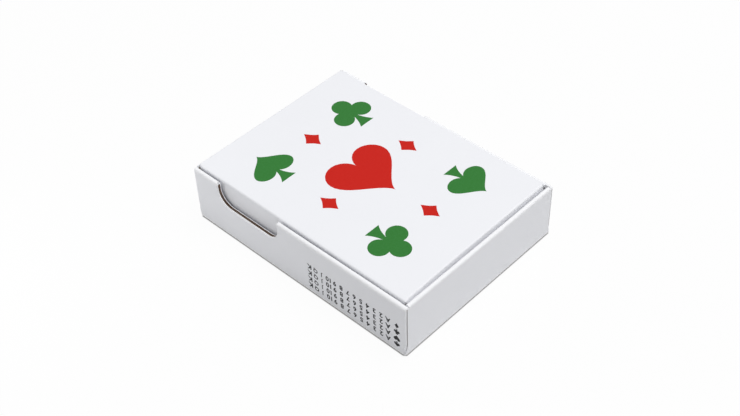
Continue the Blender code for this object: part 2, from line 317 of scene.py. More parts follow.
def clay_coated_board():
    """Recycled board, clay-coated white on one side: a smooth satin face, a brown fibrous core where it is
    cut and a dull grey-brown back. The board_depth attribute says how far into the sheet a point lies.
    """
    material, tree = new_material("clay_coated_board")
    place = add_node(tree, "ShaderNodeTexCoord").outputs["Object"]
    depth = add_node(tree, "ShaderNodeAttribute", attribute_name="board_depth").outputs["Fac"]
    fold = add_node(tree, "ShaderNodeAttribute", attribute_name="fold").outputs["Fac"]
    cloud = add_node(tree, "ShaderNodeTexNoise", {"Vector": place, "Scale": 1 / BOARD_CLOUD, "Detail": 3.0})
    fibre = add_node(tree, "ShaderNodeTexNoise", {"Vector": place, "Scale": 1 / BOARD_FIBRE, "Detail": 4.0})
    # The coating's own grain is finer than a pixel, so it is drawn at half a millimetre.
    grain = add_node(tree, "ShaderNodeTexNoise", {"Vector": place, "Scale": 1 / BOARD_GRAIN, "Detail": 2.0})
    sheet = add_node(tree, "ShaderNodeMix", {
        "Factor": cloud, "A": linear("EFF0F4"), "B": linear("EDEEF2"),
    }, data_type="RGBA")
    # Along the folds and the rims of cut-outs the coat is whiter, unevenly so: partly stretched, rubbed coat
    # and partly a painted highlight.
    whitening_grain = add_node(tree, "ShaderNodeMapRange", {
        "Value": grain, "From Min": 0.2, "From Max": 0.7, "To Min": 0.6, "To Max": 1.0,
    })
    wear_and_highlight = add_node(tree, "ShaderNodeMath", {0: fold, 1: whitening_grain}, operation="MULTIPLY")
    coat = add_node(tree, "ShaderNodeMix", {
        "Factor": wear_and_highlight, "A": sheet, "B": linear("FDFDFE"),
    }, data_type="RGBA")
    pulp = add_node(tree, "ShaderNodeMix", {
        "Factor": fibre, "A": linear("2A1204"), "B": linear("703C10"),
    }, data_type="RGBA")
    # Painted shade: the back part of each cut edge is darkened to nearly black, for the shade in the gap
    # where two plies lie back to back.
    painted_gap_shade = add_node(tree, "ShaderNodeMapRange", {
        "Value": depth, "From Min": PLY_GAP_SHADE_DEPTH, "From Max": BOARD,
    })
    core = add_node(tree, "ShaderNodeMix", {
        "Factor": painted_gap_shade, "A": pulp, "B": linear("261B13"),
    }, data_type="RGBA")
    back = add_node(tree, "ShaderNodeMix", {
        "Factor": fibre, "A": linear("B3A999"), "B": linear("CFC7BA"),
    }, data_type="RGBA")
    in_core = add_node(tree, "ShaderNodeMath", {0: depth, 1: LINER_DEPTH}, operation="GREATER_THAN")
    on_back = add_node(tree, "ShaderNodeMath", {0: depth, 1: REVERSE_DEPTH}, operation="GREATER_THAN")
    cut = add_node(tree, "ShaderNodeMix", {"Factor": in_core, "A": coat, "B": core}, data_type="RGBA")
    colour = add_node(tree, "ShaderNodeMix", {"Factor": on_back, "A": cut, "B": back}, data_type="RGBA")
    roughness = add_node(tree, "ShaderNodeMix", {"Factor": in_core, "A": COAT_ROUGHNESS, "B": PULP_ROUGHNESS})
    relief = add_node(tree, "ShaderNodeMix", {"Factor": in_core, "A": grain, "B": fibre})
    bump = add_node(tree, "ShaderNodeBump", {"Height": relief, "Strength": 0.35, "Distance": 0.006 * MM})
    shader = add_node(tree, "ShaderNodeBsdfPrincipled", {
        "Base Color": colour, "Roughness": roughness, "Normal": bump, "IOR": 1.5, "Specular IOR Level": 0.2,
    })
    add_node(tree, "ShaderNodeOutputMaterial", {"Surface": shader})
    return material


def offset_ink(name, colour, thin_colour):
    """Offset-printed ink on coated stock: a flat colour, a little uneven, with a satin varnish over it."""
    material, tree = new_material(name)
    place = add_node(tree, "ShaderNodeTexCoord").outputs["Object"]
    mottle = add_node(tree, "ShaderNodeTexNoise", {"Vector": place, "Scale": 1 / INK_MOTTLE, "Detail": 4.0})
    tint = add_node(tree, "ShaderNodeMix", {
        "Factor": mottle, "A": linear(colour), "B": linear(thin_colour),
    }, data_type="RGBA")
    shader = add_node(tree, "ShaderNodeBsdfPrincipled", {
        "Base Color": tint, "Roughness": 0.5, "IOR": 1.5, "Specular IOR Level": 0.12,
    })
    add_node(tree, "ShaderNodeOutputMaterial", {"Surface": shader})
    return material


def card_stock(name, colour, shade):
    """Pressed card stock with an embossed, varnished face: fine dimples on both sides of the card."""
    material, tree = new_material(name)
    place = add_node(tree, "ShaderNodeTexCoord").outputs["Object"]
    cloud = add_node(tree, "ShaderNodeTexNoise", {"Vector": place, "Scale": 1 / CARD_CLOUD, "Detail": 3.0})
    tint = add_node(tree, "ShaderNodeMix", {
        "Factor": cloud, "A": linear(colour), "B": linear(shade),
    }, data_type="RGBA")
    dimples = add_node(tree, "ShaderNodeTexVoronoi", {
        "Vector": place, "Scale": 1 / CARD_DIMPLE, "Randomness": 0.15,
    })
    bump = add_node(tree, "ShaderNodeBump", {"Height": dimples, "Strength": 0.3, "Distance": 0.012 * MM})
    shader = add_node(tree, "ShaderNodeBsdfPrincipled", {
        "Base Color": tint, "Roughness": CARD_ROUGHNESS, "Normal": bump,
    })
    add_node(tree, "ShaderNodeOutputMaterial", {"Surface": shader})
    return material


def card_back(middle):
    """Card stock printed on its back: a red lattice of crossing lines inside a white border."""
    material, tree = new_material("card_back")
    place = add_node(tree, "ShaderNodeTexCoord").outputs["Object"]
    # The lines are the crests of two wave textures, turned against each other.
    lines = []
    for turn in (LATTICE_ANGLE, -LATTICE_ANGLE):
        turned = add_node(tree, "ShaderNodeMapping", {"Vector": place, "Rotation": (0.0, 0.0, turn)})
        wave = add_node(tree, "ShaderNodeTexWave", {
            "Vector": turned, "Scale": WAVE_LENGTH_AT_SCALE_ONE / LATTICE_STEP,
        })
        lines.append(wave.outputs["Fac"])
    crossed = add_node(tree, "ShaderNodeMath", {0: lines[0], 1: lines[1]}, operation="MAXIMUM")
    white_line = add_node(tree, "ShaderNodeMath", {0: crossed, 1: LATTICE_LINE}, operation="GREATER_THAN")
    from_middle = add_node(tree, "ShaderNodeVectorMath", {0: place, 1: middle}, operation="SUBTRACT")
    shares = add_node(tree, "ShaderNodeVectorMath", {
        0: from_middle, 1: (CARD_PRINT_X, CARD_PRINT_Y, 1.0),
    }, operation="DIVIDE")
    reach = add_node(tree, "ShaderNodeVectorMath", {0: shares}, operation="ABSOLUTE")
    sides = add_node(tree, "ShaderNodeSeparateXYZ", {0: reach}).outputs
    furthest = add_node(tree, "ShaderNodeMath", {0: sides["X"], 1: sides["Y"]}, operation="MAXIMUM")
    border = add_node(tree, "ShaderNodeMath", {0: furthest, 1: 1.0}, operation="GREATER_THAN")
    bare = add_node(tree, "ShaderNodeMath", {0: border, 1: white_line}, operation="MAXIMUM")
    colour = add_node(tree, "ShaderNodeMix", {
        "Factor": bare, "A": linear("B4332D"), "B": linear("F3F1EA"),
    }, data_type="RGBA")
    shader = add_node(tree, "ShaderNodeBsdfPrincipled", {"Base Color": colour, "Roughness": CARD_ROUGHNESS})
    add_node(tree, "ShaderNodeOutputMaterial", {"Surface": shader})
    return material


# Flat patterns


def arc(centre, radius, start_degrees, end_degrees, steps=8):
    """Points along a circular arc, both ends included."""
    points = []
    for step in range(steps + 1):
        angle = math.radians(start_degrees + (end_degrees - start_degrees) * step / steps)
        points.append((centre[0] + radius * math.cos(angle), centre[1] + radius * math.sin(angle)))
    return points


def stops_between(low, high, spacing):
    """Even stops from low to high, both included."""
    count = max(1, math.ceil((high - low) / spacing))
    return [low + (high - low) * i / count for i in range(count + 1)]


def edges_of(loop):
    """The edges of a closed outline, each as its start and its end."""
    return list(zip(loop, loop[1:] + loop[:1]))


def split_loop(loop, columns, rows):
    """A closed outline with added points wherever it crosses a column or a row."""
    points = []
    for start, end in edges_of(loop):
        shares = {0.0}
        for axis, stops in ((0, columns), (1, rows)):
            run = end[axis] - start[axis]
            if abs(run) > POINT_GAP:
                shares.update((stop - start[axis]) / run for stop in stops)
        length = math.dist(start, end)
        last = None
        for share in sorted(s for s in shares if 0 <= s < 1):
            near_last = last is not None and (share - last) * length < POINT_GAP
            if near_last or (share > 0 and (1 - share) * length < POINT_GAP):
                continue
            points.append((start[0] + (end[0] - start[0]) * share, start[1] + (end[1] - start[1]) * share))
            last = share
    return points


def clear_of(point, loops, gap):
    """Whether a point keeps a gap to every edge of the outlines."""
    spot = Vector(point)
    for loop in loops:
        for start, end in edges_of(loop):
            if min(start[0], end[0]) - gap > point[0] or max(start[0], end[0]) + gap < point[0]:
                continue
            if min(start[1], end[1]) - gap > point[1] or max(start[1], end[1]) + gap < point[1]:
                continue
            share = geometry.intersect_point_line(spot, Vector(start), Vector(end))[1]
            nearest = Vector(start).lerp(Vector(end), min(1.0, max(0.0, share)))
            if (nearest - spot).length < gap:
                return False
    return True


def counter_clockwise(loop):
    """The outline, turned round if it runs clockwise."""
    area = sum(a[0] * b[1] - b[0] * a[1] for a, b in edges_of(loop))
    return loop if area > 0 else loop[::-1]


def rim_points(loop):
    """Points a rim's width outside a cut-out, which runs counter-clockwise."""
    points = []
    for before, here, after in zip(loop[-1:] + loop[:-1], loop, loop[1:] + loop[:1]):
        run = (Vector(after) - Vector(before)).normalized()
        points.append((here[0] + RIM_WIDTH * run.y, here[1] - RIM_WIDTH * run.x))
    return points


def numbered(loops):
    """The numbers of each outline's points, where the outlines' points are counted one after the other."""
    faces = []
    first = 0
    for loop in loops:
        faces.append(list(range(first, first + len(loop))))
        first += len(loop)
    return faces


def fill_outlines(outlines, cutouts, columns, rows):
    """Points and triangles that fill the outlines, less the cut-outs, with inner points on a grid and along
    the rims of the cut-outs.
    """
    loops = [counter_clockwise(split_loop(loop, columns, rows)) for loop in outlines + cutouts]
    holes = loops[len(outlines):]
    points = [point for loop in loops for point in loop]
    for column in columns:
        for spot in [(column, row) for row in rows]:
            if clear_of(spot, loops, POINT_GAP) and clear_of(spot, holes, RIM_WIDTH + POINT_GAP):
                points.append(spot)
    for hole in holes:
        points += [spot for spot in rim_points(hole) if clear_of(spot, holes, RIM_CLEAR)]
    made = geometry.delaunay_2d_cdt([Vector(point) for point in points], [], numbered(loops), 1, FILL_MERGE)
    spots, triangles, owners = made[0], made[2], made[5]
    kept = []
    for triangle, owner in zip(triangles, owners):
        if owner and max(owner) < len(outlines):
            kept.append(tuple(triangle))
    return spots, kept


def border_edges(triangles):
    """Edges, in the triangles' own direction, that only one triangle has."""
    edges = [edge for triangle in triangles for edge in edges_of(triangle)]
    known = set(edges)
    return [(start, end) for start, end in edges if (end, start) not in known]


def finished_mesh(name, form):
    """A new mesh from a form, which is freed."""
    mesh = bpy.data.meshes.new(name)
    form.to_mesh(mesh)
    form.free()
    return mesh


# Bent board


class BoardPath:
    """Middle line of a strip of board in section, as flat stretches and round folds one after the other.

    Folds turn to the right, and the coated side is on the left.
    """

    def __init__(self, start, heading_degrees):
        self.place = Vector(start)
        self.heading = math.radians(heading_degrees)
        self.length = 0.0
        self.stretches = []
        self.whitened_spans = []
        self.pressed_until = 0.0
        self.stops = [0.0]

    def add(self, length, angle, steps):
        """A stretch that turns by an angle, with its points so many steps apart."""
        start = self.length
        self.stretches.append((start, length, self.place, self.heading, angle))
        self.stops += [start + length * (step + 1) / steps for step in range(steps)]
        self.length += length
        self.place = self.at(self.length)[0]
        self.heading -= angle
        return self

    def flat(self, length):
        """A flat stretch, with points close to its ends, where the whitening of the folds, rubbed coat and
        painted highlight, runs out.
        """
        if length > 3 * FOLD_EDGE:
            self.add(FOLD_EDGE, 0.0, 1)
            self.add(length - 2 * FOLD_EDGE, 0.0, max(1, round(length / GRID)))
            return self.add(FOLD_EDGE, 0.0, 1)
        return self.add(length, 0.0, 1)

    def fold(self, degrees, radius, wear_and_highlight):
        """A round fold, whitened as much as wear_and_highlight says, by rubbed coat and painted highlight."""
        angle = math.radians(degrees)
        self.whitened_spans.append((self.length, self.length + radius * angle, wear_and_highlight))
        return self.add(radius * angle, angle, max(2, round(degrees / FOLD_STEP)))

    def wear_and_highlight_at(self, distance):
        """How white the board is at a distance along the strip, by rubbed coat and painted highlight; flat
        board isn't.
        """
        found = [0.0]
        for start, end, wear_and_highlight in self.whitened_spans:
            if start - SAME_POINT <= distance <= end + SAME_POINT:
                found.append(wear_and_highlight)
        return max(found)

    def at(self, distance):
        """Place on the middle line, and the direction of the coated side there."""
        found = self.stretches[0]
        for stretch in self.stretches:
            if stretch[0] <= distance:
                found = stretch
        start, length, place, heading, angle = found
        run = distance - start
        turned = heading - angle * run / length
        coated_side = Vector((-math.sin(turned), math.cos(turned)))
        if angle == 0.0:
            return place + run * Vector((math.cos(heading), math.sin(heading))), coated_side
        radius = length / angle
        centre = place - radius * Vector((-math.sin(heading), math.cos(heading)))
        return centre + radius * coated_side, coated_side

    def point(self, distance, depth):
        """Point at a depth below the coated face, at a distance along the strip."""
        spot, coated_side = self.at(distance)
        return spot + coated_side * (BOARD / 2 - depth)


def bent_board(name, outline, cutouts, path, rows, to_box, is_raw):
    """A sheet of board, cut flat to its outline and bent along a path.

    The outline's first coordinate runs along the path and its second one along the folds. to_box takes a
    point of the bent section, the place along the folds and the depth in the board. A cut edge shows the core
    where is_raw holds for both its ends, and elsewhere it is white: there the real board goes on round a
    corner or lies pressed against its neighbour. The die presses the outer ply's coat down along a cut-out,
    and leaves a white rim; its colour is whitened as the folds are, partly the coat's burr and partly a
    painted highlight.
    """
    spots, triangles = fill_outlines([outline], cutouts, path.stops, rows)
    sheet = bmesh.new()
    depth = sheet.loops.layers.float.new("board_depth")
    fold = sheet.verts.layers.float.new("fold")
    coated = []
    pressed = []
    for u, v in spots:
        on_rim = u < path.pressed_until and is_raw(u, v) and not clear_of((u, v), cutouts, SAME_POINT)
        pressed.append(RIM_DROP if on_rim else 0.0)
        vert = sheet.verts.new(to_box(*path.point(u, pressed[-1]), v, 0.0))
        # Rim points are whitened fully, and fold points by their fold: partly rubbed coat, partly a painted
        # highlight.
        vert[fold] = 1.0 if on_rim else path.wear_and_highlight_at(u)
        coated.append(vert)
    reverse = [sheet.verts.new(to_box(*path.point(u, BOARD), v, BOARD)) for u, v in spots]
    for triangle in triangles:
        sheet.faces.new([coated[i] for i in triangle])
        back = sheet.faces.new([reverse[i] for i in reversed(triangle)])
        for loop in back.loops:
            loop[depth] = BOARD
    for start, end in border_edges(triangles):
        rim = sheet.faces.new((coated[end], coated[start], reverse[start], reverse[end]))
        if is_raw(*spots[start]) and is_raw(*spots[end]):
            depths = {reverse[start]: BOARD, reverse[end]: BOARD}
            depths.update({coated[start]: pressed[start], coated[end]: pressed[end]})
            for loop in rim.loops:
                loop[depth] = depths[loop.vert]
    bmesh.ops.recalc_face_normals(sheet, faces=sheet.faces)
    mesh = finished_mesh(name, sheet)
    mesh.shade_smooth()
    mesh.set_sharp_from_angle(angle=SMOOTH_ANGLE)
    return mesh


def add_piece(name, mesh, materials):
    """A piece of the object, at the origin, with its materials."""
    piece = bpy.data.objects.new(name, mesh)
    bpy.context.scene.collection.objects.link(piece)
    for material in materials:
        mesh.materials.append(material)
    return piece


def add_panel(node, mesh, board, body):
    """A panel of the box, which stands for its solid and moves with its body."""
    piece = add_piece(node + "_board", mesh, [board])
    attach(piece, body)
    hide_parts(node)


def never(distance, along):
    """For a sheet whose edges all join another sheet."""
    return False


def past_root(distance, along):
    """For a flap, which is cut on all its edges but its root."""
    return distance > 0.0


def belly(along, across):
    """Share of a panel's bulge at a point, from 0 at its edges to 1 in the middle; both run from -1 to 1."""
    if abs(along) > 1 or abs(across) > 1:
        return 0.0
    return math.cos(along * math.pi / 2) * math.cos(across * math.pi / 2)


# Walls and floor


def rolled_path():
    """Section of a rolled wall from the floor outwards: bottom fold, outer ply, round top, inner ply."""
    stub = (SIDE_X - FLOOR_X) - (FOLD_RADIUS + BOARD / 2)
    path = BoardPath((SIDE_X - FLOOR_X, BOARD / 2), 180)
    path.flat(stub).fold(90, FOLD_RADIUS, FOOT_WEAR_AND_HIGHLIGHT)
    path.bottom_end = path.length
    path.flat(TOP_Z - WALL / 2 - path.place.y)
    path.roll_start = path.pressed_until = path.length
    path.fold(180, ROLL_RADIUS, ROLL_WEAR_AND_HIGHLIGHT)
    path.roll_end = path.length
    path.roll_top = (path.roll_start + path.roll_end) / 2
    path.flat(path.place.y - SEAM)
    return path


def tab_spans(half_length):
    """Where the two tabs of a wall start and end along it."""
    middle = half_length - TAB_FROM_END
    return [(side * middle - TAB_LENGTH / 2, side * middle + TAB_LENGTH / 2) for side in (-1, 1)]


def tabbed_foot(path, low, high, spans):
    """Lower edge of a wall's inner ply from low to high, with its tabs, in the flat."""
    foot = path.length - BOARD
    points = [(foot, low)]
    for start, end in spans:
        points += [(foot, start), (path.length, start), (path.length, end), (foot, end)]
    return points + [(foot, high)]


def notch_cutout(path):
    """Finger notch in the flat: over the roll, and down both plies."""
    back = BACK_Y - NOTCH_FROM_BACK
    front = back - NOTCH_LENGTH
    quarter = path.roll_top - path.roll_start
    floor = quarter + NOTCH_DEPTH - WALL / 2
    lip = []
    for step in range(NOTCH_LIP_STEPS + 1):
        reach = quarter * step / NOTCH_LIP_STEPS
        drop = WALL / 2 * (1 - math.cos(reach / ROLL_RADIUS))
        rise = max(0.0, NOTCH_LIP_RADIUS - drop)
        lip.append((reach, NOTCH_LIP_RADIUS - math.sqrt(NOTCH_LIP_RADIUS ** 2 - rise ** 2)))
    half = [(reach, front - flare) for reach, flare in lip]
    front_centre = (floor - NOTCH_FRONT_RADIUS, front + NOTCH_FRONT_RADIUS)
    back_centre = (floor - NOTCH_BACK_RADIUS, back - NOTCH_BACK_RADIUS)
    half += arc(front_centre, NOTCH_FRONT_RADIUS, -90, 0, steps=12)
    half += arc(back_centre, NOTCH_BACK_RADIUS, 0, 90, steps=14)
    half += [(reach, back + flare) for reach, flare in reversed(lip)]
    outer = [(path.roll_top - reach, place) for reach, place in half]
    inner = [(path.roll_top + reach, place) for reach, place in reversed(half)]
    return outer + inner[1:-1]


def end_rows(low, high):
    """Rows along a long wall, closer where its ends are rounded."""
    near_end = [CORNER_ROUND * (1 - math.cos(math.radians(angle))) for angle in CORNER_ROUND_ANGLES]
    middle = stops_between(low + CORNER_ROUND, high - CORNER_ROUND, GRID)
    rows = [low] + [low + step for step in near_end] + middle[1:-1]
    return rows + [high - step for step in near_end] + [high]


def rounded_by(distance):
    """How far the coated face of a wall draws in at a distance from its end."""
    if distance >= CORNER_ROUND:
        return 0.0
    return CORNER_ROUND - math.sqrt(CORNER_ROUND ** 2 - (CORNER_ROUND - distance) ** 2)


def wall_belly(along, height):
    """Outward bulge of a long wall at a place along it and a height."""
    return WALL_BULGE * belly(along / BACK_Y, 2 * height / TOP_Z - 1)


def left_roll_spread(along, height):
    """How far the left wall's roll springs open at a place along it and a height, most at its front end."""
    depth = TOP_Z - height
    return LEFT_ROLL_SPREAD * max(0.0, along / FRONT_Y) * max(0.0, 1 - depth / ROLL_SPREAD_DEPTH)


def make_long_wall(name, side, board):
    """Long wall, rolled over, with its finger notch; side is -1 for the left wall and 1 for the right one."""
    path = rolled_path()
    rolled = path.roll_end + WALL / 2
    low = FRONT_Y + WALL + SEAM
    high = BACK_Y - BOARD - SEAM
    slant = path.bottom_end + CORNER_SLANT
    outline = [(0.0, FRONT_Y + CORNER_TRIM), (path.bottom_end, FRONT_Y + CORNER_TRIM), (slant, FRONT_Y)]
    outline += [(rolled, FRONT_Y), (rolled, low)]
    outline += tabbed_foot(path, low, high, tab_spans(BACK_Y))
    outline += [(rolled, high), (rolled, BACK_Y)]
    outline += [(slant, BACK_Y), (path.bottom_end, BACK_Y - CORNER_TRIM), (0.0, BACK_Y - CORNER_TRIM)]

    def to_box(inward, height, along, depth):
        drawn_in = rounded_by(min(along - FRONT_Y, BACK_Y - along)) if depth == 0.0 else 0.0
        centre = Vector((WALL / 2, min(height, TOP_Z - WALL / 2)))
        to_middle = centre - Vector((inward, height))
        if to_middle.length > 0 and inward < WALL:
            inward, height = Vector((inward, height)) + to_middle.normalized() * drawn_in
        if side < 0:
            inward *= 1 + left_roll_spread(along, height) / WALL
        inward -= wall_belly(along, height)
        if side > 0:
            height *= 1 - RIGHT_WALL_DROP / TOP_Z
        return side * (SIDE_X - inward), along, height

    # Over the left wall's roll the white coat is drawn round the cut edge.
    def is_raw(distance, along):
        over_roll = path.roll_start + POINT_GAP < distance < path.roll_end - POINT_GAP
        return low < along < high and not (side < 0 and over_roll)

    rows = end_rows(FRONT_Y, BACK_Y)
    mesh = bent_board(name, outline, [notch_cutout(path)], path, rows, to_box, is_raw)
    add_panel(name, mesh, board, "tray")


def make_front_wall(board):
    """Front wall, rolled over, with its roll ending between the rolls of the long walls.

    It stops short of the left wall, which leaves a dark seam at that corner.
    """
    path = rolled_path()
    shoulder = path.roll_start - (WALL / 2 + ROLL_SEAM)
    roll_reach = SIDE_X - WALL - ROLL_SEAM
    reach = FLOOR_X + CORNER_TRIM - SEAM
    slant = path.bottom_end + CORNER_SLANT

    def side_edge(gap, spread):
        low_edge = [(0.0, reach - gap), (path.bottom_end, reach - gap)]
        return low_edge + [(slant, FLOOR_X - gap), (shoulder, FLOOR_X - gap), (shoulder, roll_reach - spread)]

    outline = [(distance, -across) for distance, across in side_edge(CORNER_GAP, LEFT_ROLL_SPREAD)]
    outline += tabbed_foot(path, LEFT_ROLL_SPREAD - ROLL_X, ROLL_X, tab_spans(SIDE_X))
    outline += side_edge(0.0, 0.0)[::-1]

    def to_box(inward, height, along, depth):
        inward -= WALL_BULGE * belly(along / FLOOR_X, 2 * height / TOP_Z - 1)
        from_end = FLOOR_X + along
        if from_end < CORNER_DIP_REACH and height > CORNER_DIP_FOOT:
            inward += CORNER_DIP * (1 - max(0.0, from_end) / CORNER_DIP_REACH) ** 2
        height *= 1 - FRONT_WALL_DROP / TOP_Z * (1 + along / FLOOR_X) / 2
        return along, FRONT_Y + inward, height

    def is_raw(distance, along):
        return distance > path.roll_end + WALL and abs(along) < ROLL_X

    near_end = [FLOOR_X - CORNER_DIP_REACH * share for share in CORNER_DIP_SHARES]
    inner = stops_between(-near_end[0], near_end[0], GRID)
    outer = near_end[1:] + [FLOOR_X, reach]
    rows = [-place for place in reversed(outer)] + inner + outer
    mesh = bent_board("front_wall", outline, [], path, rows, to_box, is_raw)
    add_panel("front_wall", mesh, board, "tray")


def make_floor_and_back(board):
    """Back wall and floor in one strip, from the lid's crease down and forwards, slotted for the tabs."""
    top = LID_TOP - BACK_REACH
    path = BoardPath((BACK_Y - BOARD / 2, top), 270)
    path.flat(top - FOLD_RADIUS - BOARD / 2).fold(90, FOLD_RADIUS, FOOT_WEAR_AND_HIGHLIGHT)
    path.flat(path.place.x - FLOOR_FRONT_Y)
    shoulder = top - (TOP_Z - WALL - SEAM)
    floor_zero = path.length + FLOOR_FRONT_Y
    slot_end = path.length - (WALL - BOARD)

    def side_edge(side):
        points = [(shoulder, side * ROLL_X), (shoulder, side * FLOOR_X)]
        for start, end in reversed(tab_spans(BACK_Y)):
            near = floor_zero - (end + SEAM)
            far = floor_zero - (start - SEAM)
            points += [(near, side * FLOOR_X), (near, side * ROLL_X)]
            points += [(far, side * ROLL_X), (far, side * FLOOR_X)]
        return points + [(path.length, side * FLOOR_X)]

    outline = [(0.0, -ROLL_X)] + side_edge(-1)
    for start, end in tab_spans(SIDE_X):
        outline += [(path.length, start - SEAM), (slot_end, start - SEAM)]
        outline += [(slot_end, end + SEAM), (path.length, end + SEAM)]
    outline += side_edge(1)[::-1] + [(0.0, ROLL_X)]

    def to_box(along, height, across, depth):
        return across, along, height

    def is_raw(distance, across):
        return distance > shoulder

    rows = stops_between(-FLOOR_X, FLOOR_X, GRID)
    mesh = bent_board("floor_and_back", outline, [], path, rows, to_box, is_raw)
    add_panel("floor_and_back", mesh, board, "tray")


# Lid and its flaps


def lid_height(across, along):
    """Height of the lid's coated face; across is measured from the middle of the lid."""
    reach = (BACK_Y - LID_FRONT_Y) / 2 - TUCK_REACH
    return LID_TOP + LID_BULGE * belly(across / (LID_X - RIGHT_EAR_REACH), (along - LID_MIDDLE_Y) / reach)


def lid_skew(across, along):
    """How much further forward the lid reaches at its front left corner; across is as for lid_height."""
    share = max(0.0, -across / LID_X) ** 2
    return LID_SKEW * share * max(0.0, 1 - (along - LID_FRONT_Y) / LID_SKEW_REACH)


def make_lid_panel(board):
    """Lid panel between its creases, with small tongues at the corners where no flap hangs."""
    ear_start = EAR_FRONT_Y - LID_FRONT_Y
    ear_end = EAR_BACK_Y - LID_FRONT_Y
    back_line = BACK_Y - BACK_REACH - LID_FRONT_Y
    radius = LID_CORNER_RADIUS
    corner = arc((radius, LID_X - radius), radius, 90, 180)

    def side_edge(ear_reach):
        ear_side = LID_X - ear_reach
        points = [(back_line, LID_X), (ear_end, LID_X), (ear_end, ear_side), (ear_start, ear_side)]
        return points + [(ear_start, LID_X)] + corner + [(0.0, TUCK_X), (TUCK_REACH, TUCK_X)]

    left_edge = [(along, -across) for along, across in side_edge(LEFT_EAR_REACH)]
    outline = side_edge(RIGHT_EAR_REACH) + left_edge[::-1]
    path = BoardPath((LID_FRONT_Y, LID_TOP - BOARD / 2), 0).flat(back_line)

    def to_box(along, height, across, depth):
        return across + LID_SHIFT, along - lid_skew(across, along), lid_height(across, along) - depth

    rows = stops_between(-LID_X, LID_X, GRID)
    mesh = bent_board("lid_panel", outline, [], path, rows, to_box, never)
    add_panel("lid_panel", mesh, board, "lid")


def make_crease(name, path, low, high, to_box, board):
    """Strip of a crease between two panels, bent to the closed fold.

    It bends where the reverse of the board turns, so that neither of its faces tears off the panels.
    """
    outline = [(0.0, low), (path.length, low), (path.length, high), (0.0, high)]
    mesh = bent_board(name, outline, [], path, stops_between(low, high, GRID), to_box, never)
    piece = add_piece(name, mesh, [board])
    start = Vector(to_box(*path.point(0.0, BOARD), 0.0, BOARD))
    end = Vector(to_box(*path.point(path.length, BOARD), 0.0, BOARD))
    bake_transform(piece)


def make_lid_crease(board):
    """Crease along the top of the back wall, on which the lid hangs."""
    def to_box(out, up, along, depth):
        return along, BACK_Y + out, LID_TOP + up

    path = BoardPath((-BACK_REACH, -BOARD / 2), 0).fold(90, LID_FOLD_RADIUS, LID_FOLD_WHITENING)
    make_crease("lid_crease", path, -ROLL_X, LID_X + LID_SHIFT, to_box, board)


def make_tuck_flap(board):
    """Front flap of the lid and its crease; it slopes down to the front wall, and then leans in a little."""
    half = TUCK_X

    def to_box(out, up, along, depth):
        return along + LID_SHIFT, LID_FRONT_Y - out - lid_skew(along, LID_FRONT_Y - out), LID_TOP + up

    fold = BoardPath((-TUCK_REACH, -BOARD / 2), 0).fold(TUCK_FOLD, FOLD_RADIUS, LID_FOLD_WHITENING).flat(TUCK_SLOPE)
    fold.fold(90 + TUCK_LEAN - TUCK_FOLD, FOLD_RADIUS, LID_FOLD_WHITENING)
    make_crease("tuck_crease", fold, -half, half, to_box, board)
    path = BoardPath(fold.place, math.degrees(fold.heading)).flat(TUCK_DEPTH + fold.place.y)
    radius = TUCK_CORNER_RADIUS
    outline = [(0.0, -half)]
    outline += arc((path.length - radius, -half + radius), radius, -90, 0, steps=12)
    outline += arc((path.length - radius, half - radius), radius, 0, 90, steps=12)
    outline += [(0.0, half)]
    rows = stops_between(-half, half, GRID)
    mesh = bent_board("tuck_flap", outline, [], path, rows, to_box, past_root)
    add_panel("tuck_flap", mesh, board, "tuck")


def make_ear(name, side, lean, reach, body, board):
    """Side flap of the lid and its crease, tapered at the back; the left one springs out to its wall."""
    low = EAR_FRONT_Y + SEAM / 2
    high = EAR_BACK_Y - SEAM / 2

    def to_box(out, up, along, depth):
        return side * (LID_X + out) + LID_SHIFT, along - lid_skew(side * LID_X, along), LID_TOP + up

    fold = BoardPath((-reach, -BOARD / 2), 0).fold(90 + lean, FOLD_RADIUS, LID_FOLD_WHITENING)
    make_crease(name + "_crease", fold, low, high, to_box, board)
    path = BoardPath(fold.place, math.degrees(fold.heading)).flat(EAR_DEPTH - reach)
    radius = EAR_CORNER_RADIUS
    front = low + EAR_FRONT_STEP
    back = high - EAR_BACK_STEP
    root = EAR_ROOT - reach
    heel = EAR_HEEL - reach
    outline = [(0.0, low), (root, low), (heel, front)]
    outline += arc((path.length - radius, front + radius), radius, -90, 0, steps=12)
    outline += [(path.length, back - EAR_BACK_TAPER), (heel, back), (root, high), (0.0, high)]
    rows = stops_between(low, high, GRID)
    mesh = bent_board(name, outline, [], path, rows, to_box, past_root)
    add_panel(name, mesh, board, body)


# Stamps, of height 1


def heart_outline(steps=56):
    """A heart, by the usual curve of four waves."""
    points = []
    for step in range(steps):
        t = 2 * math.pi * step / steps
        across = -HEART_HALF_WIDTH * math.sin(t) ** 3
        rise = sum(wave * math.cos((number + 1) * t) for number, wave in enumerate(HEART_WAVES))
        points.append((across / HEART_HEIGHT, (rise + HEART_LIFT) / HEART_HEIGHT))
    return points


def diamond_outline(steps=6):
    """A diamond with slightly hollow sides."""
    corners = [(0.0, 0.5), (-DIAMOND_HALF_WIDTH, 0.0), (0.0, -0.5), (DIAMOND_HALF_WIDTH, 0.0)]
    points = []
    for start, end in edges_of(corners):
        for step in range(steps):
            share = step / steps
            drawn_in = 1 - DIAMOND_HOLLOW * math.sin(share * math.pi)
            points.append(tuple(drawn_in * (a + (b - a) * share) for a, b in zip(start, end)))
    return points


def stem_outline(top, steps=8):
    """Stem of a spade or club, flared to its foot."""
    flare = []
    for step in range(steps + 1):
        share = step / steps
        half_width = STEM_HALF_WIDTH + (STEM_HALF_FOOT - STEM_HALF_WIDTH) * share ** STEM_FLARE
        flare.append((half_width, top + (-0.5 - top) * share))
    return [(-x, y) for x, y in flare] + flare[::-1]


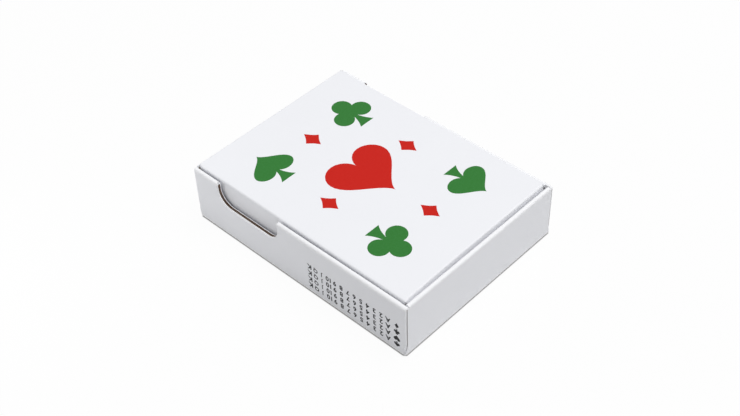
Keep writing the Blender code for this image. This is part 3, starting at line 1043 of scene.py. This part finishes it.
def spade_outlines():
    """A heart on its head, and a stem."""
    leaf = [(SPADE_WIDTH * x, SPADE_LIFT - SPADE_HEIGHT * y) for x, y in heart_outline()]
    return [leaf[::-1], stem_outline(0.0)]


def club_outlines():
    """Three round lobes, what fills the middle between them, and a stem."""
    lobes = [arc(centre, CLUB_LOBE_RADIUS, 0, 360, steps=30)[:-1] for centre in CLUB_LOBES]
    middle = arc((0.0, CLUB_MIDDLE_Y), CLUB_MIDDLE_RADIUS, 0, 360, steps=12)[:-1]
    return lobes + [middle, stem_outline(CLUB_MIDDLE_Y)]


def mark_object(name, outlines, spacing):
    """A printed mark of height 1 and thickness 1, as a closed flat solid for instancing."""
    stops = stops_between(-MARK_REACH, MARK_REACH, spacing) if spacing else []
    loops = [counter_clockwise(loop) for loop in outlines]
    points = [Vector(point) for loop in loops for point in loop]
    points += [Vector((x, y)) for x in stops for y in stops]
    made = geometry.delaunay_2d_cdt(points, [], numbered(loops), 1, MARK_MERGE)
    triangles = [tuple(face) for face, owner in zip(made[2], made[5]) if owner]
    solid = bmesh.new()
    top = [solid.verts.new((x, y, 1.0)) for x, y in made[0]]
    bottom = [solid.verts.new((x, y, 0.0)) for x, y in made[0]]
    for triangle in triangles:
        solid.faces.new([top[i] for i in triangle])
        solid.faces.new([bottom[i] for i in reversed(triangle)])
    for start, end in border_edges(triangles):
        solid.faces.new((top[end], top[start], bottom[start], bottom[end]))
    loose = [vert for vert in solid.verts if not vert.link_faces]
    bmesh.ops.delete(solid, geom=loose, context="VERTS")
    bmesh.ops.recalc_face_normals(solid, faces=solid.faces)
    return bpy.data.objects.new(name, finished_mesh(name, solid))


def evaluated_mesh(holder):
    """Plain mesh of an object as Blender evaluates it."""
    bpy.context.scene.collection.objects.link(holder)
    evaluated = holder.evaluated_get(bpy.context.evaluated_depsgraph_get())
    return bpy.data.meshes.new_from_object(evaluated)


def glyph_object(name, text, boldness):
    """Lettering of cap height 1 and thickness 1, centred, as a closed flat solid for instancing."""
    curve = bpy.data.curves.new(name, "FONT")
    curve.body = text
    curve.align_x = "CENTER"
    curve.align_y = "CENTER"
    curve.fill_mode = "BOTH"
    curve.extrude = GLYPH_HALF
    curve.offset = boldness
    curve.resolution_u = 4
    holder = bpy.data.objects.new(name, curve)
    mesh = evaluated_mesh(holder)
    bpy.data.objects.remove(holder)
    bpy.data.curves.remove(curve)
    welded = bmesh.new()
    welded.from_mesh(mesh)
    bmesh.ops.remove_doubles(welded, verts=welded.verts, dist=GLYPH_MERGE)
    across = [vert.co.x for vert in welded.verts]
    upright = [vert.co.y for vert in welded.verts]
    centre = Vector(((min(across) + max(across)) / 2, (min(upright) + max(upright)) / 2, -GLYPH_HALF))
    scale = 1 / (max(upright) - min(upright))
    bmesh.ops.translate(welded, vec=-centre, verts=welded.verts)
    bmesh.ops.scale(welded, vec=(scale, scale, 1.0), verts=welded.verts)
    welded.to_mesh(mesh)
    welded.free()
    return bpy.data.objects.new(name, mesh)


# Printing


def printing_tree():
    """Geometry Nodes tree that prints one mark on each point, by the point's own size and turn."""
    tree = bpy.data.node_groups.new("printed marks", "GeometryNodeTree")
    sockets = {}
    for name, kind in (("Points", "NodeSocketGeometry"), ("Mark", "NodeSocketObject"),
                       ("Film", "NodeSocketFloat"), ("Ink", "NodeSocketMaterial")):
        sockets[name] = tree.interface.new_socket(name, in_out="INPUT", socket_type=kind)
    tree.interface.new_socket("Print", in_out="OUTPUT", socket_type="NodeSocketGeometry")
    given = add_node(tree, "NodeGroupInput").outputs
    size = add_node(tree, "GeometryNodeInputNamedAttribute", {"Name": "size"}, data_type="FLOAT")
    turn = add_node(tree, "GeometryNodeInputNamedAttribute", {"Name": "turn"}, data_type="FLOAT")
    scale = add_node(tree, "ShaderNodeCombineXYZ", {"X": size, "Y": size, "Z": given["Film"]})
    angles = add_node(tree, "ShaderNodeCombineXYZ", {"Z": turn})
    mark = add_node(tree, "GeometryNodeObjectInfo", {"Object": given["Mark"]}).outputs["Geometry"]
    placed = add_node(tree, "GeometryNodeInstanceOnPoints", {
        "Points": given["Points"], "Instance": mark, "Rotation": angles, "Scale": scale,
    })
    real = add_node(tree, "GeometryNodeRealizeInstances", {"Geometry": placed})
    inked = add_node(tree, "GeometryNodeSetMaterial", {"Geometry": real, "Material": given["Ink"]})
    add_node(tree, "NodeGroupOutput", {"Print": inked})
    return tree, {name: socket.identifier for name, socket in sockets.items()}


def printed(press, mark, ink, places):
    """Mesh of one mark printed in one ink; each place is (x, y, size, turn in degrees)."""
    tree, identifiers = press
    points = bpy.data.meshes.new("print points")
    points.from_pydata([(x, y, -FILM_SUNK) for x, y, size, turn in places], [], [])
    sizes = points.attributes.new("size", "FLOAT", "POINT")
    turns = points.attributes.new("turn", "FLOAT", "POINT")
    for number, (x, y, size, turn) in enumerate(places):
        sizes.data[number].value = size
        turns.data[number].value = math.radians(turn)
    holder = bpy.data.objects.new("print points", points)
    modifier = holder.modifiers.new("print", "NODES")
    modifier.node_group = tree
    for name, value in (("Mark", mark), ("Film", FILM), ("Ink", ink)):
        modifier[identifiers[name]] = value
    mesh = evaluated_mesh(holder)
    holder.modifiers.remove(modifier)
    bpy.data.objects.remove(holder)
    bpy.data.meshes.remove(points)
    return mesh


def add_faces(form, mesh, slot):
    """Add a mesh's faces to a form, in one material slot, and remove the mesh."""
    start = len(form.faces)
    form.from_mesh(mesh)
    form.faces.ensure_lookup_table()
    for face in form.faces[start:]:
        face.material_index = slot
    bpy.data.meshes.remove(mesh)


def make_lid_print(press, marks, red, green):
    """Suit signs on the lid: a large heart, spades and clubs round it in green, and small diamonds."""
    x, y = LID_PRINT_X, LID_PRINT_Y
    back, front = LID_MIDDLE_Y + y, LID_MIDDLE_Y - y
    diamonds = ((0.0, back), (0.0, front), (-x, LID_MIDDLE_Y), (x, LID_MIDDLE_Y))
    prints = (
        ("hearts", red, [(0.0, LID_MIDDLE_Y, LID_HEART, 0.0)]),
        ("diamonds", red, [(*spot, LID_DIAMOND, 0.0) for spot in diamonds]),
        ("spades", green, [(-x, back, LID_SUIT, 0.0), (x, front, LID_SUIT, 180.0)]),
        ("clubs", green, [(x, back, LID_SUIT, 0.0), (-x, front, LID_SUIT, 180.0)]),
    )
    form = bmesh.new()
    for slot, (suit, ink, places) in enumerate(prints):
        add_faces(form, printed(press, marks[suit], ink, places), slot)
    for vert in form.verts:
        vert.co.z += lid_height(vert.co.x, vert.co.y)
        vert.co.x += LID_SHIFT
    inks = [ink for suit, ink, places in prints]
    piece = add_piece("lid_print", finished_mesh("lid_print", form), inks)
    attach(piece, "lid")


def make_wall_print(press, marks, glyphs, black):
    """Four lines of ranks on the left wall, one to a suit, with their heads towards the floor."""
    form = bmesh.new()
    for line, suit in enumerate(SUITS):
        height = FIRST_LINE_Z + line * LINE_PITCH
        places = [(LINE_START_Y, -height, LINE_SUIT, 0.0)]
        add_faces(form, printed(press, marks[suit], black, places), 0)
        for number, rank in enumerate(RANKS):
            places = [(LINE_START_Y + (number + FIRST_RANK_STEPS) * LINE_STEP, -height, LINE_CAP, 0.0)]
            add_faces(form, printed(press, glyphs[rank], black, places), 0)
    for vert in form.verts:
        along, height, lift = vert.co.x, -vert.co.y, vert.co.z
        vert.co = (-SIDE_X - wall_belly(along, height) - lift, along, height)
    piece = add_piece("left_wall_print", finished_mesh("left_wall_print", form), [black])
    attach(piece, "tray")


# Cards


def pip_places(number):
    """Places of the pips of a number card, with the lower half turned over."""
    spots = [(0.0, row) for row in CENTRE_ROWS.get(number, ())]
    count = SIDE_ROWS.get(number, 0)
    for line in range(count):
        row = 1 - 2 * line / (count - 1)
        spots += [(-1.0, row), (1.0, row)]
    size = ACE_SIZE if number == 1 else PIP_SIZE
    return [(x * PIP_COLUMN, y * PIP_REACH, size, 180.0 if y < 0 else 0.0) for x, y in spots]


def both_ways_up(x, y, size):
    """A place at the upper left of a card, and its like at the lower right, turned over."""
    return [(-x, y, size, 0.0), (x, -y, size, 180.0)]


def card_body(low, high):
    """A card with round corners: its face is slot 0, its back slot 1 and its edge slot 2."""
    radius = CARD_CORNER_RADIUS
    left, right = low.x + radius, high.x - radius
    front, back = low.y + radius, high.y - radius
    outline = []
    for number, corner in enumerate(((right, front), (right, back), (left, back), (left, front))):
        outline += arc(corner, radius, 90 * number - 90, 90 * number)
    card = bmesh.new()
    top = [card.verts.new((x, y, high.z)) for x, y in outline]
    bottom = [card.verts.new((x, y, low.z)) for x, y in outline]
    card.faces.new(top).material_index = 0
    card.faces.new(bottom[::-1]).material_index = 1
    for i, j in edges_of(list(range(len(outline)))):
        card.faces.new((top[j], top[i], bottom[i], bottom[j])).material_index = 2
    return card


def make_card(rank, suit, press, marks, glyphs, stocks, ink):
    """A card with its pips, its two corner indices and, on a court card, a large letter."""
    name = RANK_NAMES[rank] + "_of_" + suit
    low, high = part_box(name)
    letters = both_ways_up(INDEX_X, INDEX_Y, INDEX_CAP)
    pips = both_ways_up(INDEX_X, INDEX_PIP_Y, INDEX_PIP) + pip_places(rank + 1)
    if rank >= len(NUMBER_NAMES):
        letters.append((0.0, 0.0, COURT_CAP, 0.0))
        pips += both_ways_up(COURT_PIP_X, COURT_PIP_Y, PIP_SIZE)
    card = card_body(low, high)
    centre = (low + high) / 2
    shift = Matrix.Translation((centre.x, centre.y, high.z))
    for mark, places in ((marks[suit], pips), (glyphs[RANKS[rank]], letters)):
        mesh = printed(press, mark, ink, places)
        mesh.transform(shift)
        add_faces(card, mesh, len(stocks))
    piece = add_piece(name + "_card", finished_mesh(name, card), stocks + [ink])
    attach(piece, "deck")
    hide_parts(name)


# Stage


def seen_background(tree):
    """Node that gives 1 to the rays that show the white background, and 0 to those that light the object."""
    path = add_node(tree, "ShaderNodeLightPath").outputs
    seen = path["Is Camera Ray"]
    for ray in ("Is Glossy Ray", "Is Transmission Ray"):
        seen = add_node(tree, "ShaderNodeMath", {0: seen, 1: path[ray]}, operation="MAXIMUM")
    return seen


def make_floor():
    """White floor to the eye, with a dark line of shadow where the box meets it."""
    bpy.ops.mesh.primitive_plane_add(size=FLOOR_SIZE, location=(0, 0, -FLOOR_DROP))
    floor = bpy.context.active_object
    floor.name = "studio_floor"
    material, tree = new_material("white_sweep")
    seen = seen_background(tree)
    near = add_node(tree, "ShaderNodeAmbientOcclusion", {"Distance": CONTACT_REACH}, samples=CONTACT_SAMPLES)
    clear = add_node(tree, "ShaderNodeMath", {0: near.outputs["AO"], 1: CONTACT_POWER}, operation="POWER")
    shown = add_node(tree, "ShaderNodeMath", {0: seen, 1: clear}, operation="MULTIPLY")
    share = add_node(tree, "ShaderNodeMath", {0: shown, 1: FLOOR_GLOW}, operation="MULTIPLY")
    unseen = add_node(tree, "ShaderNodeMath", {0: 1.0, 1: seen}, operation="SUBTRACT")
    bright = add_node(tree, "ShaderNodeMath", {0: clear, 1: unseen}, operation="MAXIMUM")
    shaded = add_node(tree, "ShaderNodeMix", {
        "Factor": bright, "A": linear("2E2A26"), "B": linear("E4E4E4"),
    }, data_type="RGBA")
    paper = add_node(tree, "ShaderNodeBsdfDiffuse", {"Color": shaded})
    glow = add_node(tree, "ShaderNodeEmission", {"Color": WHITE, "Strength": 1.0})
    mixed = add_node(tree, "ShaderNodeMixShader", {0: share, 1: paper, 2: glow})
    add_node(tree, "ShaderNodeOutputMaterial", {"Surface": mixed})
    floor.data.materials.append(material)


def add_lamp(name, place, aim, size, power):
    """Round area lamp that the camera doesn't see."""
    lamp = bpy.data.lights.new(name, "AREA")
    lamp.shape = "DISK"
    lamp.size = size
    lamp.energy = power
    holder = bpy.data.objects.new(name, lamp)
    holder.location = place
    holder.rotation_euler = (Vector(aim) - Vector(place)).to_track_quat("-Z", "Y").to_euler()
    holder.visible_camera = False
    bpy.context.scene.collection.objects.link(holder)


def make_light():
    """Soft studio light: an even surround, a large soft box overhead, a small fill card at the back left."""
    world = bpy.data.worlds.new("white_surround")
    bpy.context.scene.world = world
    world.use_nodes = True
    tree = world.node_tree
    tree.nodes.clear()
    seen = seen_background(tree)
    strength = add_node(tree, "ShaderNodeMix", {"Factor": seen, "A": SURROUND_LIGHT, "B": 1.0})
    sky = add_node(tree, "ShaderNodeBackground", {"Color": WHITE, "Strength": strength})
    add_node(tree, "ShaderNodeOutputWorld", {"Surface": sky})
    add_lamp("soft_box", place=(0.3, -0.35, 1.45), aim=(0.0, 0.0, 0.0), size=1.4, power=17.8)
    wall_end = (-SIDE_X, BACK_Y, TOP_Z / 2)
    add_lamp("fill_card", place=(-0.13, 0.09, 0.05), aim=wall_end, size=0.06, power=0.02)


def make_camera():
    """Camera at the photograph's viewing angle, rolled a little."""
    level = Vector((math.cos(CAMERA_AZIMUTH), math.sin(CAMERA_AZIMUTH), 0.0))
    ahead = Vector((math.sin(CAMERA_AZIMUTH), -math.cos(CAMERA_AZIMUTH), 0.0))
    back = ahead * math.cos(CAMERA_ELEVATION) + Vector((0.0, 0.0, math.sin(CAMERA_ELEVATION)))
    upright = back.cross(level)
    right = math.cos(CAMERA_ROLL) * level + math.sin(CAMERA_ROLL) * upright
    up = math.cos(CAMERA_ROLL) * upright - math.sin(CAMERA_ROLL) * level
    lens = bpy.data.cameras.new("camera")
    lens.sensor_fit = "HORIZONTAL"
    lens.sensor_width = SENSOR_WIDTH
    lens.lens = LENS
    lens.clip_start = CAMERA_CLIP
    camera = bpy.data.objects.new("camera", lens)
    place = back * CAMERA_DISTANCE + right * CAMERA_SIDE + up * CAMERA_RISE
    camera.matrix_world = Matrix.Translation(place) @ Matrix((right, up, back)).transposed().to_4x4()
    bpy.context.scene.collection.objects.link(camera)
    bpy.context.scene.camera = camera


# Whole scene


def make_box(board):
    """The panels of the box, with the creases of its lid."""
    make_floor_and_back(board)
    make_long_wall("left_wall", -1, board)
    make_long_wall("right_wall", 1, board)
    make_front_wall(board)
    make_lid_panel(board)
    make_lid_crease(board)
    make_tuck_flap(board)
    make_ear("left_ear", -1, LEFT_EAR_LEAN, LEFT_EAR_REACH, "left_flap", board)
    make_ear("right_ear", 1, RIGHT_EAR_LEAN, RIGHT_EAR_REACH, "right_flap", board)


def make_prints_and_cards():
    """The prints on the box and the 52 cards, from stamps that are removed at the end."""
    red = offset_ink("red_offset_ink", "C21810", "C82418")
    green = offset_ink("green_offset_ink", "2B7028", "377C3C")
    black = offset_ink("black_offset_ink", "131315", "1F1F22")
    press = printing_tree()
    outlines = {
        "hearts": [heart_outline()], "diamonds": [diamond_outline()],
        "spades": spade_outlines(), "clubs": club_outlines(),
    }
    fine_marks = {suit: mark_object("large_" + suit, outlines[suit], MARK_GRID) for suit in SUITS}
    marks = {suit: mark_object(suit, outlines[suit], None) for suit in SUITS}
    glyphs = {rank: glyph_object("rank_" + rank, rank, RANK_BOLDNESS) for rank in RANKS}
    bold_glyphs = {rank: glyph_object("bold_rank_" + rank, rank, LINE_BOLDNESS) for rank in RANKS}
    make_lid_print(press, fine_marks, red, green)
    make_wall_print(press, marks, bold_glyphs, black)

    low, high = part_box("ace_of_spades")
    stocks = [
        card_stock("card_face", "F3F1EA", "EFEDE5"), card_back((low + high) / 2),
        card_stock("card_edge", "E9E5DA", "D9D4C6"),
    ]
    for suit in SUITS:
        ink = red if suit in RED_SUITS else black
        for rank in range(len(RANKS)):
            make_card(rank, suit, press, marks, glyphs, stocks, ink)
    for stamps in (fine_marks, marks, glyphs, bold_glyphs):
        for stamp in stamps.values():
            bpy.data.objects.remove(stamp)


bpy.context.scene.view_settings.view_transform = "Standard"
make_camera()
make_light()
make_floor()
make_box(clay_coated_board())
make_prints_and_cards()

bpy.context.view_layer.update()
